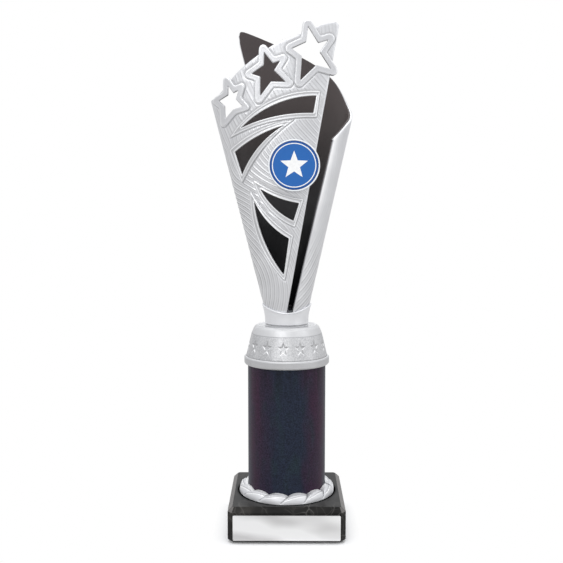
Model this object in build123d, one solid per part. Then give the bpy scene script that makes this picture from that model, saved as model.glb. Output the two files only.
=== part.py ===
from build123d import *
from math import cos, radians, sin
import os

# Column trophy: a square marble base, a foil-wrapped column with a laurel ring, a metallised cap
# with engraved stars, and a two-petal cup with a black liner and a round badge.
# Millimetres. Origin: centre of the underside. +Z up, the front faces -Y, +X to the right.

os.makedirs("parts", exist_ok=True)

# ---- Driving dimensions -------------------------------------------------------------------------
BASE_WIDTH = 63.0            # 2.5 inch marble square
BASE_TOP = 19.4
BASE_TOP_CHAMFER = 2.4
BASE_LOW_CHAMFER = 1.0
FELT_THICKNESS = 0.8         # one sheet of felt under the marble, over the nut's pocket
FELT_WIDTH = 56.0
FELT_CORNER = 3.0
RECESS_RADIUS = 11.0         # pocket for the nut under the base
RECESS_CEILING = 11.0

PLATE_WIDTH = 57.2
PLATE_LOW = 2.0
PLATE_HIGH = 15.6
PLATE_THICKNESS = 0.5
TAPE_THICKNESS = 0.2
TAPE_MARGIN = 2.0

TUBE_RADIUS = 21.4
TUBE_WALL = 1.6
FOIL_THICKNESS = 0.2
COLUMN_TOP = 91.7
PLUG_THICKNESS = 6.0
PLUG_GAP = 0.05
RING_RADIUS = 26.7
RING_HEIGHT = 5.0

CAP_TOP = 111.2              # floor of the cap's recess, where the collar stands
CAP_FLANGE_RADIUS = 23.6
CAP_FLANGE_TOP = 96.2
BAND_LOW_RADIUS = 22.5       # star band, a cone between these two circles
BAND_HIGH_RADIUS = 19.5
BAND_TOP = 108.8
CAP_SHOULDER = (18.0, 112.2)
CAP_FLAT_RADIUS = 16.5
CAP_RECESS_RADIUS = 15.5
CAP_RECESS_DEPTH = 2.1
CAP_STARS = 14
CAP_STAR_RADIUS = 3.9
CAP_STAR_SLIMNESS = 0.74
CAP_STAR_HEIGHT = 102.6
CAP_STAR_DEPTH = 0.6
CAP_STAR_TURN = -5.2         # degrees, from the front to the nearest star

COLLAR_SCOOP_LOW = 121.1     # rim height at front and back
COLLAR_RIM_HIGH = 125.0      # rim height at the two sides
COLLAR_FLOOR = 2.2

CUP_LOW = 113.4              # petals stand on the collar's floor
CUP_BEND = 126.5             # below this the cup is round, above it flattens
CUP_HIGH = 280.0
CUP_LOW_RADIUS = 10.0
BEND_DEPTH = 13.0
HIGH_DEPTH = 19.8
FRONT_WIDTHS = (13.4, 52.6)  # half widths of the front petal at the bend and at the top
REAR_WIDTHS = (13.1, 47.7)
PETAL_WALL = 1.4
LINER_GAP = 0.05
LINER_WALL = 0.9
LINER_FLOOR = 1.5
BORDER_RAISE = 0.9           # raised borders round the windows and stars
BORDER_ROOT = 0.7
STAR_BORDERS = [(0.35, 2.75), (0.9, 2.1), (1.3, 1.7)]  # growth with pointed tips, then with rounded ones
PETAL_FAR = 60.0             # beyond the widest point of the cup

BADGE_X = 3.8
BADGE_Z = 200.0
BEZEL_RADIUS = 13.6
BEZEL_BACK = 18.2            # distance in front of the axis
BEZEL_DEPTH = 2.0
DISC_RADIUS = 12.7           # 25 mm insert
DISC_THICKNESS = 0.8
PRINT_THICKNESS = 0.1
PRINT_RING_RADIUS = 11.6
PRINT_RING_WIDTH = 0.5
PRINT_STAR_RADIUS = 7.6
BADGE_PAD_RADIUS = 7.0

ROD_RADIUS = 2.98            # M6 tie rod
ROD_LOW = 2.0
ROD_HIGH = 123.6
ROD_HOLE = 3.3
NUT_BORE = 3.05
NUT_RADIUS = 5.77
NUT_HEIGHT = 5.0
WASHER_HEIGHT = 1.6
BASE_WASHER_RADIUS = 9.0
CUP_WASHER_RADIUS = 6.0
LOCK_WASHER_RADIUS = 5.9


# ---- Shared shapes ------------------------------------------------------------------------------
def save(shape, name):
    shape.label = name
    export_step(shape, f"parts/{name}.step")


def disc(radius, low, high, bore=0.0):
    """Upright cylinder between two heights, with an optional bore."""
    body = Pos(0, 0, low) * extrude(Circle(radius), high - low)
    if bore:
        body -= Pos(0, 0, low - 1) * extrude(Circle(bore), high - low + 2)
    return body


def hex_nut(low):
    body = Pos(0, 0, low) * extrude(RegularPolygon(NUT_RADIUS, 6), NUT_HEIGHT)
    return body - disc(NUT_BORE, low - 1, low + NUT_HEIGHT + 1)


def star_face(radius, slimness=1.0, waist=0.42):
    """Upright five-pointed star; slimness below 1 makes it narrower than it is tall."""
    points = []
    for k in range(10):
        reach = radius if k % 2 == 0 else radius * waist
        turn = radians(36 * k)
        points.append((-slimness * reach * sin(turn), reach * cos(turn)))
    return make_face(Polyline(*points, close=True))


def front_prism(face, toward_front=True):
    """Face drawn in the XZ plane, swept from the centre plane to the front or to the back."""
    return extrude(Plane.XZ * face, PETAL_FAR if toward_front else -PETAL_FAR)


# ---- Base ---------------------------------------------------------------------------------------
def marble_base():
    block = Pos(0, 0, FELT_THICKNESS) * Box(
        BASE_WIDTH, BASE_WIDTH, BASE_TOP - FELT_THICKNESS, align=(Align.CENTER, Align.CENTER, Align.MIN)
    )
    block = chamfer(block.edges().filter_by(Axis.Z), BASE_TOP_CHAMFER)
    block = chamfer(block.faces().sort_by(Axis.Z)[-1].edges(), BASE_TOP_CHAMFER)
    block = chamfer(block.faces().sort_by(Axis.Z)[0].edges(), BASE_LOW_CHAMFER)
    block -= disc(RECESS_RADIUS, -1, RECESS_CEILING)
    return block - disc(ROD_HOLE, 0, BASE_TOP + 1)


def base_felt():
    return extrude(RectangleRounded(FELT_WIDTH, FELT_WIDTH, FELT_CORNER), FELT_THICKNESS)


def front_sheet(width, low, high, back, thickness, corner):
    """Thin upright rectangle on the front of the base."""
    face = Pos(0, (low + high) / 2) * RectangleRounded(width, high - low, corner)
    return Pos(0, -back, 0) * extrude(Plane.XZ * face, thickness)


def plate_tape():
    half = BASE_WIDTH / 2
    width = PLATE_WIDTH - 2 * TAPE_MARGIN
    return front_sheet(width, PLATE_LOW + TAPE_MARGIN, PLATE_HIGH - TAPE_MARGIN, half, TAPE_THICKNESS, 0.5)


def engraving_plate():
    back = BASE_WIDTH / 2 + TAPE_THICKNESS
    return front_sheet(PLATE_WIDTH, PLATE_LOW, PLATE_HIGH, back, PLATE_THICKNESS, 0.6)


# ---- Column -------------------------------------------------------------------------------------
def laurel_ring():
    """Wreath round the foot of the column: half-round section, flat underneath."""
    inner = TUBE_RADIUS + FOIL_THICKNESS + PLUG_GAP
    width = RING_RADIUS - inner
    with BuildLine() as edge:
        Line((inner, BASE_TOP), (RING_RADIUS, BASE_TOP))
        Line((RING_RADIUS, BASE_TOP), (RING_RADIUS, BASE_TOP + 0.3 * RING_HEIGHT))
        Spline(
            (RING_RADIUS, BASE_TOP + 0.3 * RING_HEIGHT),
            (RING_RADIUS - 0.4 * width, BASE_TOP + 0.9 * RING_HEIGHT),
            (inner + 0.15 * width, BASE_TOP + RING_HEIGHT),
            tangents=((0, 1), (-1, 0)),
        )
        Line((inner + 0.15 * width, BASE_TOP + RING_HEIGHT), (inner, BASE_TOP + RING_HEIGHT))
        Line((inner, BASE_TOP + RING_HEIGHT), (inner, BASE_TOP))
    return revolve(Plane.XZ * make_face(edge.line), Axis.Z)


def column_cap():
    """Plated moulding over the top of the column, hollow, with a ring of engraved stars."""
    web = TUBE_RADIUS - TUBE_WALL - 0.2
    top = CAP_TOP + CAP_RECESS_DEPTH
    with BuildLine() as edge:
        Line((0, COLUMN_TOP), (CAP_FLANGE_RADIUS - 0.8, COLUMN_TOP))
        Line((CAP_FLANGE_RADIUS - 0.8, COLUMN_TOP), (CAP_FLANGE_RADIUS, COLUMN_TOP + 0.8))
        Line((CAP_FLANGE_RADIUS, COLUMN_TOP + 0.8), (CAP_FLANGE_RADIUS, CAP_FLANGE_TOP - 1.0))
        Line((CAP_FLANGE_RADIUS, CAP_FLANGE_TOP - 1.0), (CAP_FLANGE_RADIUS - 0.9, CAP_FLANGE_TOP))
        Line((CAP_FLANGE_RADIUS - 0.9, CAP_FLANGE_TOP), (BAND_LOW_RADIUS, CAP_FLANGE_TOP))
        Line((BAND_LOW_RADIUS, CAP_FLANGE_TOP), (BAND_HIGH_RADIUS, BAND_TOP))
        Line((BAND_HIGH_RADIUS, BAND_TOP), CAP_SHOULDER)
        Line(CAP_SHOULDER, (CAP_FLAT_RADIUS, top))
        Line((CAP_FLAT_RADIUS, top), (CAP_RECESS_RADIUS, top))
        Line((CAP_RECESS_RADIUS, top), (CAP_RECESS_RADIUS, CAP_TOP))
        Line((CAP_RECESS_RADIUS, CAP_TOP), (0, CAP_TOP))
        Line((0, CAP_TOP), (0, COLUMN_TOP))
    outside = revolve(Plane.XZ * make_face(edge.line), Axis.Z)
    hollow = [(0, COLUMN_TOP - 1), (web, COLUMN_TOP - 1), (web, CAP_FLANGE_TOP), (16.6, BAND_TOP)]
    hollow += [(13.5, CAP_TOP - 2.0), (0, CAP_TOP - 2.0)]
    body = outside - revolve(Plane.XZ * make_face(Polyline(*hollow, close=True)), Axis.Z)
    body -= disc(ROD_HOLE, CAP_TOP - 4, CAP_TOP + 1)
    return body - engraved_stars()


def engraved_stars():
    rise = BAND_TOP - CAP_FLANGE_TOP
    lean = BAND_LOW_RADIUS - BAND_HIGH_RADIUS
    radius = BAND_LOW_RADIUS - lean * (CAP_STAR_HEIGHT - CAP_FLANGE_TOP) / rise
    stars = []
    for k in range(CAP_STARS):
        turn = radians(CAP_STAR_TURN + 360 * k / CAP_STARS)
        out = Vector(sin(turn), -cos(turn), 0)
        normal = Vector(out.X * rise, out.Y * rise, lean).normalized()
        side = Vector(cos(turn), sin(turn), 0)
        centre = out * radius + Vector(0, 0, CAP_STAR_HEIGHT)
        face = Plane(centre - normal * CAP_STAR_DEPTH, x_dir=side, z_dir=normal)
        stars.append(extrude(face * star_face(CAP_STAR_RADIUS, CAP_STAR_SLIMNESS), 3.0))
    return stars


def cup_collar():
    """Short flared sleeve that holds the foot of the cup, its rim scooped low at front and back."""
    low = CAP_TOP
    outside = [(0, low), (12.0, low), (12.0, 113.2), (11.7, 113.4), (11.7, 113.8), (12.0, 114.0), (12.05, 118.0)]
    outside += [(12.8, 121.5), (13.7, COLLAR_RIM_HIGH + 0.5), (0, COLLAR_RIM_HIGH + 0.5)]
    body = revolve(Plane.XZ * make_face(Polyline(*outside, close=True)), Axis.Z)
    floor = low + COLLAR_FLOOR
    inside = [(0, floor), (11.0, floor), (11.4, 118.0), (12.25, 121.5)]
    inside += [(13.3, COLLAR_RIM_HIGH + 1), (0, COLLAR_RIM_HIGH + 1)]
    body -= revolve(Plane.XZ * make_face(Polyline(*inside, close=True)), Axis.Z)
    body -= disc(ROD_HOLE, low - 1, floor + 1)
    rise = COLLAR_RIM_HIGH - COLLAR_SCOOP_LOW
    scoop_radius = (13.5**2 + rise**2) / (2 * rise)
    scoop = Pos(0, 0, COLLAR_SCOOP_LOW + scoop_radius) * Rot(90, 0, 0) * Cylinder(scoop_radius, 60)
    return body - scoop


# ---- Cup ----------------------------------------------------------------------------------------
def cup_cone(widths, inset):
    """Solid oval cone: round at the collar, flattened and flared towards the top."""
    sections = [
        Pos(0, 0, CUP_LOW) * Circle(CUP_LOW_RADIUS - inset),
        Pos(0, 0, CUP_BEND) * Ellipse(widths[0] - inset, BEND_DEPTH - inset),
        Pos(0, 0, CUP_HIGH) * Ellipse(widths[1] - inset, HIGH_DEPTH - inset),
    ]
    lower = loft([sections[0], sections[1]], ruled=True)
    return lower + loft([sections[1], sections[2]], ruled=True)


def cup_shell(widths, outer_inset, inner_inset):
    return cup_cone(widths, outer_inset) - cup_cone(widths, inner_inset)


# Curved windows: the hole, then the outside of its raised border. Each outline is a list of sides,
# (start, middle, end) for an arc and (start, end) for a straight side.
WINDOWS = [
    ([((-24, 220), (-6, 231.7), (15.3, 236.2)), ((15.3, 236.2), (13.8, 227.4)),
      ((13.8, 227.4), (-4, 226), (-24, 220))],
     [((-30.5, 214.7), (-7, 234.3), (17.5, 238.6)), ((17.5, 238.6), (15.6, 225)),
      ((15.6, 225), (-4, 223.4), (-30.5, 214.7))]),
    ([((-27.6, 207.4), (-15.5, 215.3), (-2, 220.7)), ((-2, 220.7), (-15.5, 209.2), (-23.7, 195.3)),
      ((-23.7, 195.3), (-27.6, 207.4))],
     [((-30.6, 208.6), (-16.5, 217.8), (4.2, 223.9)), ((4.2, 223.9), (-13.6, 207.4), (-23.9, 191)),
      ((-23.9, 191), (-30.6, 208.6))]),
    ([((-13.8, 187.7), (-4.4, 183), (6.3, 180.3)), ((6.3, 180.3), (3.5, 171)),
      ((3.5, 171), (-6.2, 177.6), (-13.8, 187.7))],
     [((-17.9, 192.9), (-3.6, 185.5), (9, 182.5)), ((9, 182.5), (4.3, 167.4)),
      ((4.3, 167.4), (-8.2, 175.7), (-17.9, 192.9))]),
    ([((-17.3, 181.4), (-9.4, 169.6), (1, 161.5)), ((1, 161.5), (-1.6, 142.2)),
      ((-1.6, 142.2), (-11.8, 159.6), (-17.3, 181.4))],
     [((-19.4, 187.3), (-7.4, 171.3), (3.4, 163)), ((3.4, 163), (-1, 138.5)),
      ((-1, 138.5), (-14.2, 158.2), (-19.4, 187.3))]),
]

# The three star cut-outs: tips and waists, clockwise from the top.
STARS = [
    [(11, 271), (16.2, 263), (21.4, 264.7), (17, 258.4), (22.9, 250), (15.3, 251.9), (7, 244),
     (7.8, 256.3), (2.5, 260), (10, 263.4)],
    [(-11.7, 258), (-7.2, 252.6), (-3.7, 253.7), (-6.8, 249), (-0.8, 243.2), (-8.3, 243.4), (-13.8, 236.3),
     (-13.8, 246), (-18.2, 247.5), (-12, 251.6)],
    [(-31, 242.1), (-28.2, 238), (-25.5, 239.3), (-26.9, 234.8), (-23.4, 231), (-28.4, 229.7), (-32.7, 225.2),
     (-32.8, 231.9), (-36, 234.6), (-30.9, 237.2)],
]


def window_face(sides):
    lines = [ThreePointArc(*side) if len(side) == 3 else Line(*side) for side in sides]
    return make_face(Wire(lines))


def star_border(face, sharp, round_):
    grown = offset(face, sharp, kind=Kind.INTERSECTION)
    return offset(grown, round_, kind=Kind.ARC)


def petal_face(edge_points, right_edge, left_far):
    """Area below a smooth top edge, left of the straight slot edge."""
    with BuildLine() as outline:
        top = Spline(*edge_points)
        Polyline(top @ 1, *right_edge, (left_far, CUP_LOW - 5), (left_far, edge_points[0][1]), top @ 0)
    return make_face(outline.line)


# Front petal: top edge rising to the tip at the right, then the straight edge of the slot.
FRONT_TOP = [(-41, 235.4), (-33, 240.4), (-21, 252.7), (-7, 261.6), (8, 268), (25.2, 274.2)]
FRONT_SLOT = [(27.15, 272), (0.25, 122), (-1.3, CUP_LOW - 5)]
# Its back edge: the low wing that wraps round the left side.
FRONT_WING = [(-41, 235.4), (-37, 228.5), (-33, 223.5), (-27, 216.5), (-3.4, 122.4), (-1.3, CUP_LOW - 5)]
# Rear petal: top edge falling from the tip at the left to the right side, then the front wing.
REAR_TOP = [(36.4, 226), (33.4, 234), (28, 244.2), (20, 253.6), (8, 261.7), (-7.2, 269.4), (-23, 276)]
REAR_SLOT = [(-26, 273.6), (-22.6, 258), (-0.5, 122), (1.1, CUP_LOW - 5)]
REAR_WING = [(36.4, 226), (33, 222.6), (29.5, 218.2), (24.3, 214), (2.9, 122.4), (1.3, CUP_LOW - 5)]

# Top edge of the liner at the left, where no rear petal covers it.
LINER_LEFT_TOP = [(-PETAL_FAR, 225), (-34, 225.5), (-26, 231.5), (-20, 239), (-10, 239)]


def wing_face(points, far):
    with BuildLine() as outline:
        lip = Spline(*points[:-2])
        Polyline(lip @ 1, *points[-2:], (far, CUP_LOW - 5), (far, points[0][1]), lip @ 0)
    return make_face(outline.line)


def petal_area(top, slot, wing, far, front):
    main = front_prism(petal_face(top, slot, far), toward_front=front)
    return main + front_prism(wing_face(wing, far), toward_front=not front)


def cup_front_petal():
    """Front petal with its windows, star cut-outs and their raised borders."""
    area = petal_area(FRONT_TOP, FRONT_SLOT, FRONT_WING, -PETAL_FAR, front=True)
    body = cup_shell(FRONT_WIDTHS, 0, PETAL_WALL) & area
    raised = cup_shell(FRONT_WIDTHS, -BORDER_RAISE, PETAL_WALL - BORDER_ROOT)
    holes = []
    for hole, border in WINDOWS:
        body += raised & front_prism(window_face(border))
        holes.append(front_prism(window_face(hole)))
    for points, growth in zip(STARS, STAR_BORDERS):
        face = make_face(Polyline(*points, close=True))
        body += raised & front_prism(star_border(face, *growth))
        holes.append(front_prism(face))
    return body - holes


def cup_rear_petal():
    area = petal_area(REAR_TOP, REAR_SLOT, REAR_WING, PETAL_FAR, front=False)
    return cup_shell(REAR_WIDTHS, 0, PETAL_WALL) & area


def cup_liner():
    """Black inner cup: lines the rear petal and the left side, with a floor on the collar."""
    outer = PETAL_WALL + LINER_GAP
    shell = cup_shell(REAR_WIDTHS, outer, outer + LINER_WALL)
    area = petal_area(REAR_TOP, REAR_SLOT, REAR_WING, PETAL_FAR, front=False)
    left = [(5, CUP_LOW - 5), (-PETAL_FAR, CUP_LOW - 5)] + LINER_LEFT_TOP
    area += front_prism(make_face(Polyline(*left, close=True)), toward_front=False)
    floor = cup_cone(REAR_WIDTHS, outer) & disc(PETAL_FAR, CUP_LOW, CUP_LOW + LINER_FLOOR)
    return (shell & area) + floor - disc(ROD_HOLE, CUP_LOW - 1, CUP_LOW + 9)


# ---- Badge --------------------------------------------------------------------------------------
def facing_disc(radius, back, thickness):
    """Round sheet facing the front, centred on the badge."""
    return Pos(BADGE_X, -back, BADGE_Z) * extrude(Plane.XZ * Circle(radius), thickness)


def badge_bezel():
    seat = BEZEL_BACK + BEZEL_DEPTH - DISC_THICKNESS
    return facing_disc(BEZEL_RADIUS, BEZEL_BACK, BEZEL_DEPTH) - facing_disc(DISC_RADIUS + 0.05, seat, 3)


def badge_disc():
    return facing_disc(DISC_RADIUS, BEZEL_BACK + BEZEL_DEPTH - DISC_THICKNESS, DISC_THICKNESS)


def badge_print():
    """Printed emblem: a thin ring and a star, as one separate layer of ink."""
    back = BEZEL_BACK + BEZEL_DEPTH
    ring = Circle(PRINT_RING_RADIUS) - Circle(PRINT_RING_RADIUS - PRINT_RING_WIDTH)
    faces = [ring, star_face(PRINT_STAR_RADIUS)]
    layers = [Pos(BADGE_X, -back, BADGE_Z) * extrude(Plane.XZ * face, PRINT_THICKNESS) for face in faces]
    return Compound(layers)


def badge_pad():
    """Adhesive pad: flat against the bezel, curved to the petal behind it."""
    block = facing_disc(BADGE_PAD_RADIUS, BEZEL_BACK - 5, 5)
    return block - cup_cone(FRONT_WIDTHS, -0.05)


# ---- Tie rod and fasteners ----------------------------------------------------------------------
def base_stack():
    """Heights under the base: washer against the marble, then the lock washer, then the nut."""
    washer = RECESS_CEILING - WASHER_HEIGHT
    lock = washer - WASHER_HEIGHT
    return washer, lock, lock - NUT_HEIGHT


def hex_nuts():
    return Compound([hex_nut(base_stack()[2]), hex_nut(CUP_LOW + LINER_FLOOR + WASHER_HEIGHT)])


def base_washer():
    low = base_stack()[0]
    return disc(BASE_WASHER_RADIUS, low, low + WASHER_HEIGHT, bore=ROD_HOLE)


def lock_washer():
    low = base_stack()[1]
    ring = disc(LOCK_WASHER_RADIUS, low, low + WASHER_HEIGHT, bore=ROD_HOLE)
    return ring - Pos(LOCK_WASHER_RADIUS, 0, low + WASHER_HEIGHT / 2) * Rot(0, 0, 25) * Box(8, 0.8, 3)


def cup_washer():
    low = CUP_LOW + LINER_FLOOR
    return disc(CUP_WASHER_RADIUS, low, low + WASHER_HEIGHT, bore=ROD_HOLE)


tube_bore = TUBE_RADIUS - TUBE_WALL
plug_radius = tube_bore - PLUG_GAP
foil_radius = TUBE_RADIUS + FOIL_THICKNESS
NODES = {
    "marble_base": marble_base(),
    "base_felt": base_felt(),
    "plate_tape": plate_tape(),
    "engraving_plate": engraving_plate(),
    "laurel_ring": laurel_ring(),
    "column_tube": disc(TUBE_RADIUS, BASE_TOP, COLUMN_TOP, bore=tube_bore),
    "column_foil": disc(foil_radius, BASE_TOP, COLUMN_TOP, bore=TUBE_RADIUS),
    "lower_plug": disc(plug_radius, BASE_TOP, BASE_TOP + PLUG_THICKNESS, bore=ROD_HOLE),
    "upper_plug": disc(plug_radius, COLUMN_TOP - PLUG_THICKNESS, COLUMN_TOP, bore=ROD_HOLE),
    "column_cap": column_cap(),
    "cup_collar": cup_collar(),
    "cup_front_petal": cup_front_petal(),
    "cup_rear_petal": cup_rear_petal(),
    "cup_liner": cup_liner(),
    "badge_bezel": badge_bezel(),
    "badge_disc": badge_disc(),
    "badge_print": badge_print(),
    "badge_pad": badge_pad(),
    "tie_rod": disc(ROD_RADIUS, ROD_LOW, ROD_HIGH),
    "hex_nuts": hex_nuts(),
    "base_washer": base_washer(),
    "lock_washer": lock_washer(),
    "cup_washer": cup_washer(),
}

for name, shape in NODES.items():
    save(shape, name)
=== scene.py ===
from math import ceil, cos, pi, radians, sin, sqrt, tau

import bpy
import numpy as np
from mathutils import Euler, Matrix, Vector
from mathutils.geometry import delaunay_2d_cdt
from mathutils.kdtree import KDTree


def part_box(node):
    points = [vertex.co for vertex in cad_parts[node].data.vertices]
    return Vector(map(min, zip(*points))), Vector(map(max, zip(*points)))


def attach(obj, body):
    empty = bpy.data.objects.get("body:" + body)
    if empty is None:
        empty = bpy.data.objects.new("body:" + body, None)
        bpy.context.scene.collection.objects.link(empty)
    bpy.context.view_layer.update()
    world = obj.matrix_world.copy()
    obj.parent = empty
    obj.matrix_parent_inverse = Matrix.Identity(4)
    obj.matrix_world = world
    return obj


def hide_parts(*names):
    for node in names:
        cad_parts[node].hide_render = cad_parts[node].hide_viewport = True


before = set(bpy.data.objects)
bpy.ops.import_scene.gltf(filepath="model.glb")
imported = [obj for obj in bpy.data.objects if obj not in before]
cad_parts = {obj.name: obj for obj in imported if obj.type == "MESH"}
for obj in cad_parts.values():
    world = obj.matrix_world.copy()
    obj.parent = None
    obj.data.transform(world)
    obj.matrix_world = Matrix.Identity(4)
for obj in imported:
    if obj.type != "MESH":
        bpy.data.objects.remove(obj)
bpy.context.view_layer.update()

# Column trophy. Shapes are worked out in millimetres in the CAD model's frame and become metres in mesh().
# Angles round the cup and the column: 0 is the right side, 90 the front, 180 the left and -90 the back.

MM = 0.001


def box_mm(node):
    low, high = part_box(node)
    return low / MM, high / MM


# ---- Outlines -----------------------------------------------------------------------------------
def along(side, step):
    """Points along a straight side (two points) or an arc (three points), without its last point."""
    start, end = np.array(side[0], float), np.array(side[-1], float)
    if len(side) == 2:
        count = max(1, ceil(np.linalg.norm(end - start) / step))
        t = np.arange(count)[:, None] / count
        return start + t * (end - start)
    middle = np.array(side[1], float)
    system = 2 * np.array([middle - start, end - start])
    centre = np.linalg.solve(system, np.array([middle @ middle - start @ start, end @ end - start @ start]))
    turns = [np.arctan2(*(p - centre)[::-1]) for p in (start, middle, end)]
    first = (turns[1] - turns[0] + pi) % tau - pi
    sweep = (turns[2] - turns[0]) % tau
    if first < 0:
        sweep -= tau
    radius = np.linalg.norm(start - centre)
    count = max(2, ceil(abs(sweep) * radius / step))
    turn = turns[0] + sweep * np.arange(count) / count
    return centre + radius * np.stack([np.cos(turn), np.sin(turn)], 1)


def joined(sides, step):
    return np.concatenate([along(side, step) for side in sides])


def polygon_sides(points):
    return list(zip(points, points[1:] + points[:1]))


def window_sides(points):
    """Sides of an outline of corners, each followed by a point on the arc after it or by None."""
    corners = points[::2]
    sides = zip(corners, points[1::2], corners[1:] + corners[:1])
    return [(start, middle, end) if middle else (start, end) for start, middle, end in sides]


def smooth_run(points, step):
    """Points along a smooth open curve through the given points (Catmull-Rom), with both ends."""
    p = np.array(points, float)
    p = np.concatenate([[2 * p[0] - p[1]], p, [2 * p[-1] - p[-2]]])
    out = []
    for a, b, c, d in zip(p, p[1:], p[2:], p[3:]):
        count = max(1, ceil(np.linalg.norm(c - b) / step))
        t = np.arange(count)[:, None] / count
        out.append(0.5 * (2 * b + (c - a) * t + (2 * a - 5 * b + 4 * c - d) * t**2
                          + (3 * b - a - 3 * c + d) * t**3))
    return np.concatenate(out + [p[-2:-1]])


def even(loop, step):
    """The same closed loop with points at equal distances."""
    closed = np.concatenate([loop, loop[:1]])
    length = np.concatenate([[0], np.cumsum(np.linalg.norm(np.diff(closed, axis=0), axis=1))])
    at = np.linspace(0, length[-1], max(8, ceil(length[-1] / step)), endpoint=False)
    return np.stack([np.interp(at, length, closed[:, k]) for k in (0, 1)], 1)


def rounded(loop, reach, step=0.5):
    """A closed loop with its corners rounded over about this reach."""
    fine = even(loop, 0.1)
    half = max(1, int(reach / 0.2))
    total = np.zeros_like(fine)
    for k in range(-half, half + 1):
        total += (half + 1 - abs(k)) * np.roll(fine, k, axis=0)
    return even(total / (half + 1) ** 2, step)


def shifted(loop, distance):
    """Each point of a loop moved sideways, to the left of its direction."""
    ahead = np.roll(loop, -1, axis=0) - np.roll(loop, 1, axis=0)
    ahead /= np.linalg.norm(ahead, axis=1)[:, None] + 1e-9
    return loop + distance * np.stack([-ahead[:, 1], ahead[:, 0]], 1)


def grown(points, sharp, round_):
    """Outside of a clockwise polygon grown by a sharp step, then by a step that rounds its tips."""
    p = np.array(points, float)

    def sides(q):
        ahead = np.roll(q, -1, axis=0) - q
        ahead /= np.linalg.norm(ahead, axis=1)[:, None]
        after = np.stack([-ahead[:, 1], ahead[:, 0]], 1)
        return np.roll(after, 1, axis=0), after

    before, after = sides(p)
    p = p + (before + after) * sharp / (1 + (before * after).sum(1))[:, None]
    before, after = sides(p)
    out = []
    for corner, a, b in zip(p, before, after):
        turned = a[0] * b[1] - a[1] * b[0]
        if turned > 0:
            out.append([corner + (a + b) * round_ / (1 + a @ b)])
            continue
        start = np.arctan2(a[1], a[0])
        sweep = -np.arccos(np.clip(a @ b, -1, 1))
        turn = start + sweep * np.linspace(0, 1, 12)
        out.append(corner + round_ * np.stack([np.cos(turn), np.sin(turn)], 1))
    return np.concatenate(out)


def filleted(corners, parts=4):
    """A closed outline of (x, y, reach) corners, each eased over its reach along both sides, with one more
    point beside the easing so that the straight parts stay flat when shaded smooth."""
    p = np.array([c[:2] for c in corners], float)
    out = []
    for k, (_, _, reach) in enumerate(corners):
        ends = []
        for other in (p[k - 1], p[(k + 1) % len(p)]):
            away = other - p[k]
            length = np.linalg.norm(away)
            ends.append(p[k] + away / length * min(reach, 0.4 * length))
            ends.append(p[k] + away / length * min(reach + 0.15, 0.48 * length))
        if reach == 0:
            out.append(p[k:k + 1])
            continue
        t = np.linspace(0, 1, parts + 1)[:, None]
        out += [ends[1:2], (1 - t) ** 2 * ends[0] + 2 * t * (1 - t) * p[k] + t**2 * ends[2], ends[3:4]]
    return np.concatenate(out)


def inside(points, loop):
    """Which points lie inside a closed loop."""
    low, high = loop.min(0), loop.max(0)
    near = np.flatnonzero(((points >= low) & (points <= high)).all(1))
    result = np.zeros(len(points), bool)
    a, b = loop, np.roll(loop, -1, axis=0)
    for part in np.array_split(near, max(1, len(near) // 4000)):
        x, y = points[part, 0:1], points[part, 1:2]
        crosses = (a[:, 1] > y) != (b[:, 1] > y)
        with np.errstate(divide="ignore", invalid="ignore"):
            at = a[:, 0] + (y - a[:, 1]) * (b[:, 0] - a[:, 0]) / (b[:, 1] - a[:, 1])
        result[part] = (crosses & (x < at)).sum(1) % 2 == 1
    return result


def gap(points, loop, reach=8.0):
    """Distance from each point to a closed loop, up to a reach."""
    result = np.full(len(points), reach)
    near = np.flatnonzero(((points > loop.min(0) - reach) & (points < loop.max(0) + reach)).all(1))
    a = loop
    d = np.roll(loop, -1, axis=0) - a
    size = (d**2).sum(1) + 1e-12
    for part in np.array_split(near, max(1, len(near) // 3000)):
        if len(part) == 0:
            continue
        w = points[part][:, None, :] - a
        t = np.clip((w * d).sum(2) / size, 0, 1)
        away = w - t[..., None] * d
        result[part] = np.minimum(reach, np.sqrt((away**2).sum(2).min(1)))
    return result


def ease(value, low, high):
    """0 below low, 1 above high, smooth between."""
    t = np.clip((value - low) / (high - low), 0, 1)
    return t * t * (3 - 2 * t)


# ---- Meshes -------------------------------------------------------------------------------------
def mesh(name, points, faces, materials, face_slots=None, sharp=35):
    """A riding mesh piece from points in millimetres."""
    data = bpy.data.meshes.new(name)
    data.from_pydata((np.asarray(points) * MM).tolist(), [], [tuple(map(int, f)) for f in faces])
    for material in materials:
        data.materials.append(material)
    if face_slots is not None:
        data.polygons.foreach_set("material_index", np.asarray(face_slots, np.int32))
    data.polygons.foreach_set("use_smooth", np.ones(len(data.polygons), bool))
    data.update()
    data.set_sharp_from_angle(angle=radians(sharp))
    piece = bpy.data.objects.new(name, data)
    bpy.context.scene.collection.objects.link(piece)
    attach(piece, "root")
    return piece


def attribute(piece, name, values):
    layer = piece.data.attributes.new(name, "FLOAT", "POINT")
    layer.data.foreach_set("value", np.asarray(values, np.float32))


def grid_faces(rows, columns, wrap_rows=False, wrap_columns=True):
    """Quads of a grid of points stored row by row."""
    down = rows if wrap_rows else rows - 1
    across = columns if wrap_columns else columns - 1
    i, j = np.meshgrid(np.arange(down), np.arange(across), indexing="ij")
    i, j = i.ravel(), j.ravel()
    i2, j2 = (i + 1) % rows, (j + 1) % columns
    return np.stack([i * columns + j, i * columns + j2, i2 * columns + j2, i2 * columns + j], 1)


def around(radius, turn, z):
    """Points round the Z axis at an angle from the front."""
    return np.stack([radius * np.sin(turn), -radius * np.cos(turn), z + 0 * turn], -1)


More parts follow.
